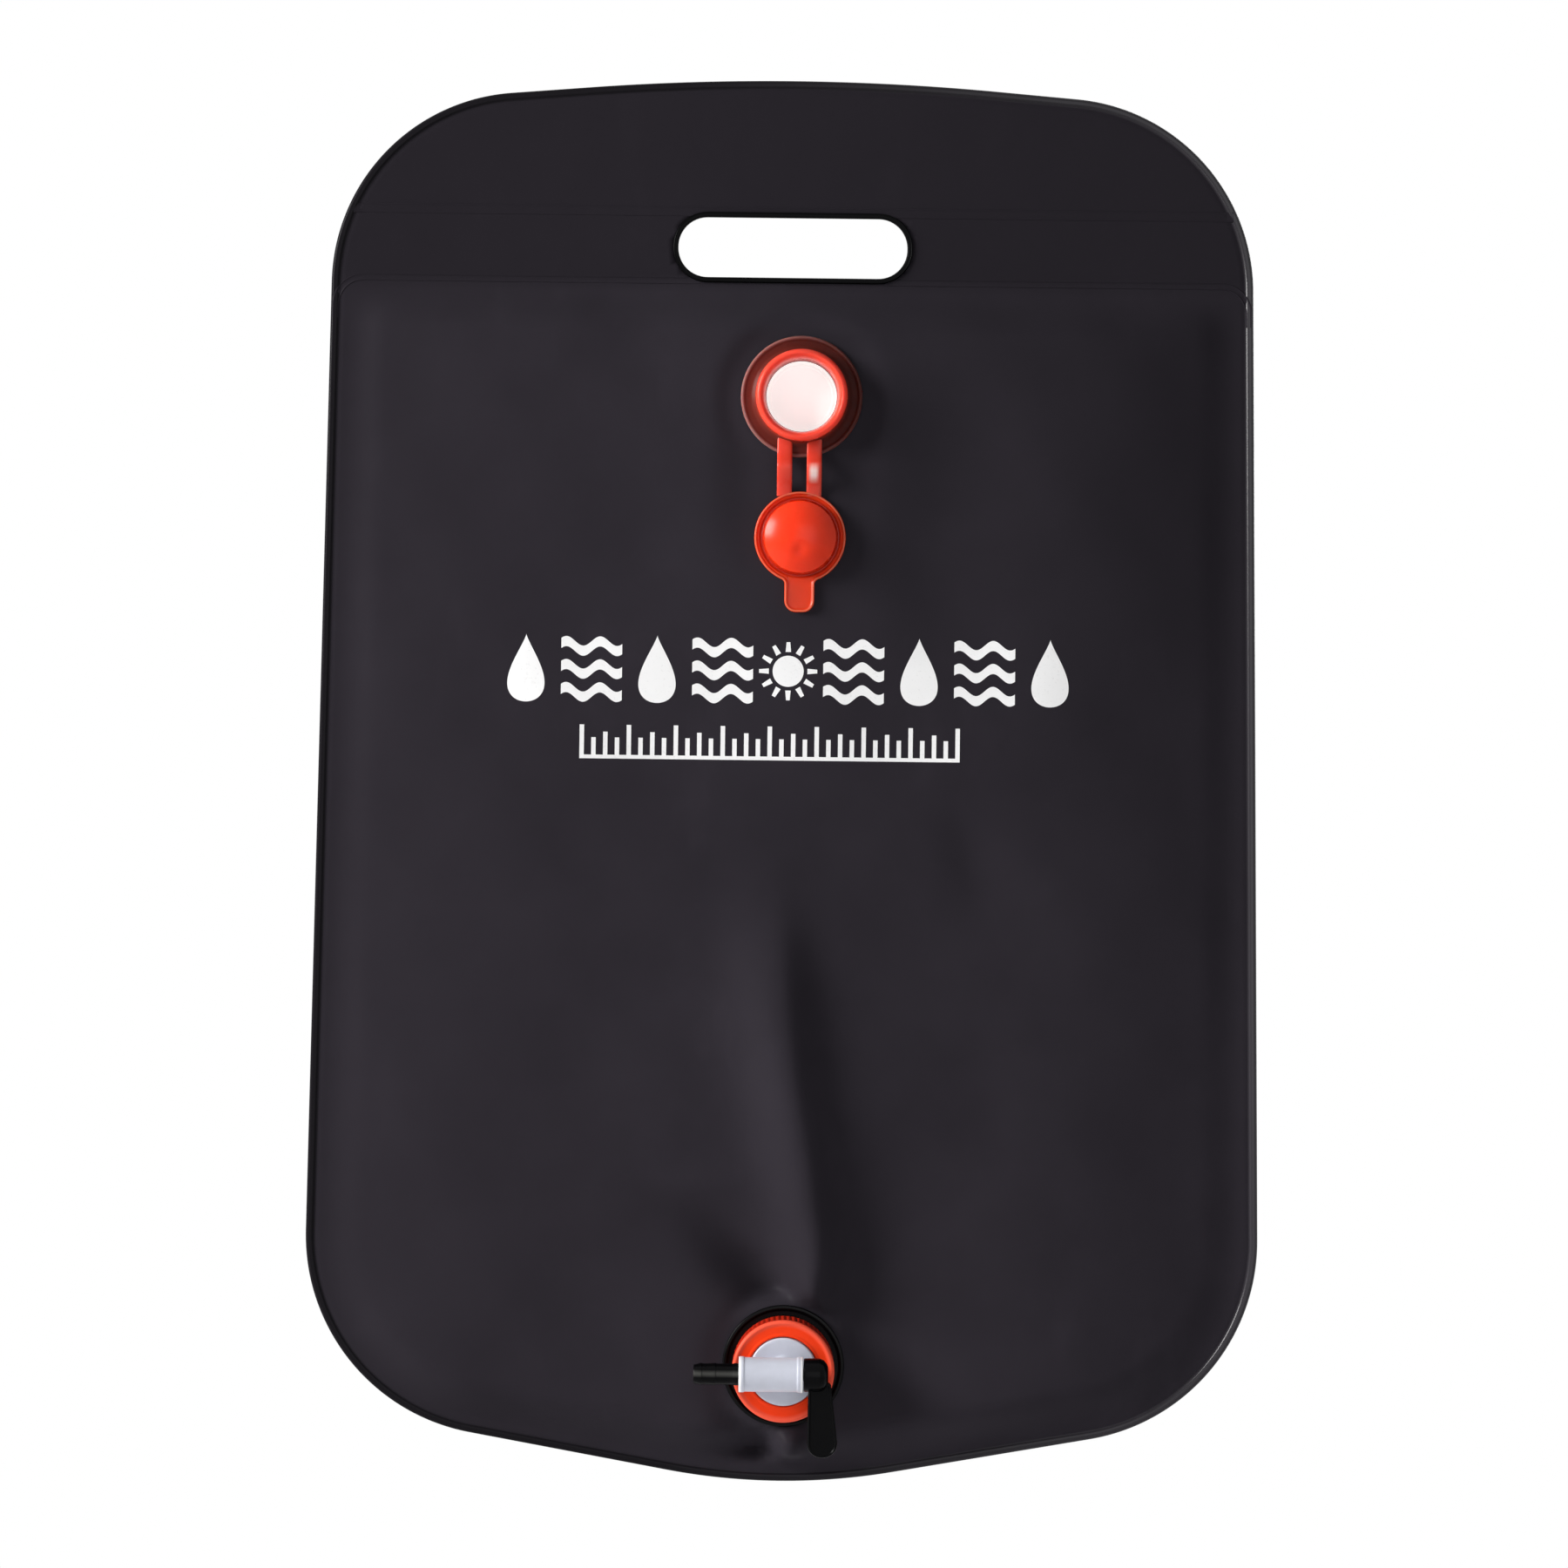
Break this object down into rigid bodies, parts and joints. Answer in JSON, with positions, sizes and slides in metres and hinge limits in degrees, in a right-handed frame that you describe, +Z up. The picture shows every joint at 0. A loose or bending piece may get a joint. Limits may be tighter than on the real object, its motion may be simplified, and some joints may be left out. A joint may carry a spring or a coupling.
{
  "type": "camp shower bag",
  "caption": "Soft black water bag hung by a hand slot, with a flapped filler neck and tethered plug at the top and a lever tap with a hose nipple at the foot.",
  "frame": {"origin": "middle of the hand slot's upper edge, halfway between the films, where the bag hangs", "axes": "+Z up as the bag hangs, -Y out of the front with the filler and tap, +X to the viewer's right"},
  "size_m": [0.4078, 0.0616, 0.6],
  "materials": {
    "film": "calendered, satin",
    "rim": "moulded, satin",
    "filler_vinyl": "glossy",
    "valve_vinyl": "satin",
    "outlet_black": "satin",
    "collar_orange": "semi-gloss",
    "tap_white": "milky, semi-gloss",
    "tap_black": "satin",
    "seal_rubber": "matte"
  },
  "bodies": {
    "bag": {"front_panel": "film", "back_panel": "film", "handle_rim": "rim", "filler_neck": "filler_vinyl", "neck_strap_left": "filler_vinyl", "neck_strap_right": "filler_vinyl", "valve_seat": "valve_vinyl", "flap_hinge_strip": "valve_vinyl", "outlet_flange": "outlet_black"},
    "plug": {"filler_plug": "filler_vinyl", "plug_strap_left": "filler_vinyl", "plug_strap_right": "filler_vinyl"},
    "flap": {"check_flap": "valve_vinyl"},
    "tap": {"tap_body": "tap_white", "outlet_gasket": "seal_rubber", "hose_nipple": "tap_black"},
    "collar": {"outlet_collar": "collar_orange"},
    "lever": {"tap_lever": "tap_black", "tap_core": "tap_black", "core_seal_inner": "seal_rubber", "core_seal_outer": "seal_rubber"}
  },
  "joints": [
    {"name": "plug_tether", "type": "hinge", "parent": "bag", "child": "plug", "pos_m": [0.0044, -0.0199, -0.10755], "axis": [-1, 0, 0], "range_deg": [0, 180]},
    {"name": "flap_hinge", "type": "hinge", "parent": "bag", "child": "flap", "pos_m": [0.0044, -0.00985, -0.06085], "axis": [-1, 0, 0], "range_deg": [-33, 0]},
    {"name": "tap_slide", "type": "slide", "parent": "bag", "child": "tap", "axis": [0, -1, 0], "range_m": [0, 0.0096]},
    {"name": "collar_turn", "type": "hinge", "parent": "tap", "child": "collar", "pos_m": [0.0013, -0.01265, -0.4901], "axis": [0, -1, 0], "range_deg": [0, 1080]},
    {"name": "lever_turn", "type": "hinge", "parent": "tap", "child": "lever", "pos_m": [0.0013, -0.04145, -0.4901], "axis": [-1, 0, 0], "range_deg": [0, 90]}
  ],
  "couplings": [
    {"joint": "tap_slide", "follows": "collar_turn", "m_per_rad": 0.00050929}
  ]
}
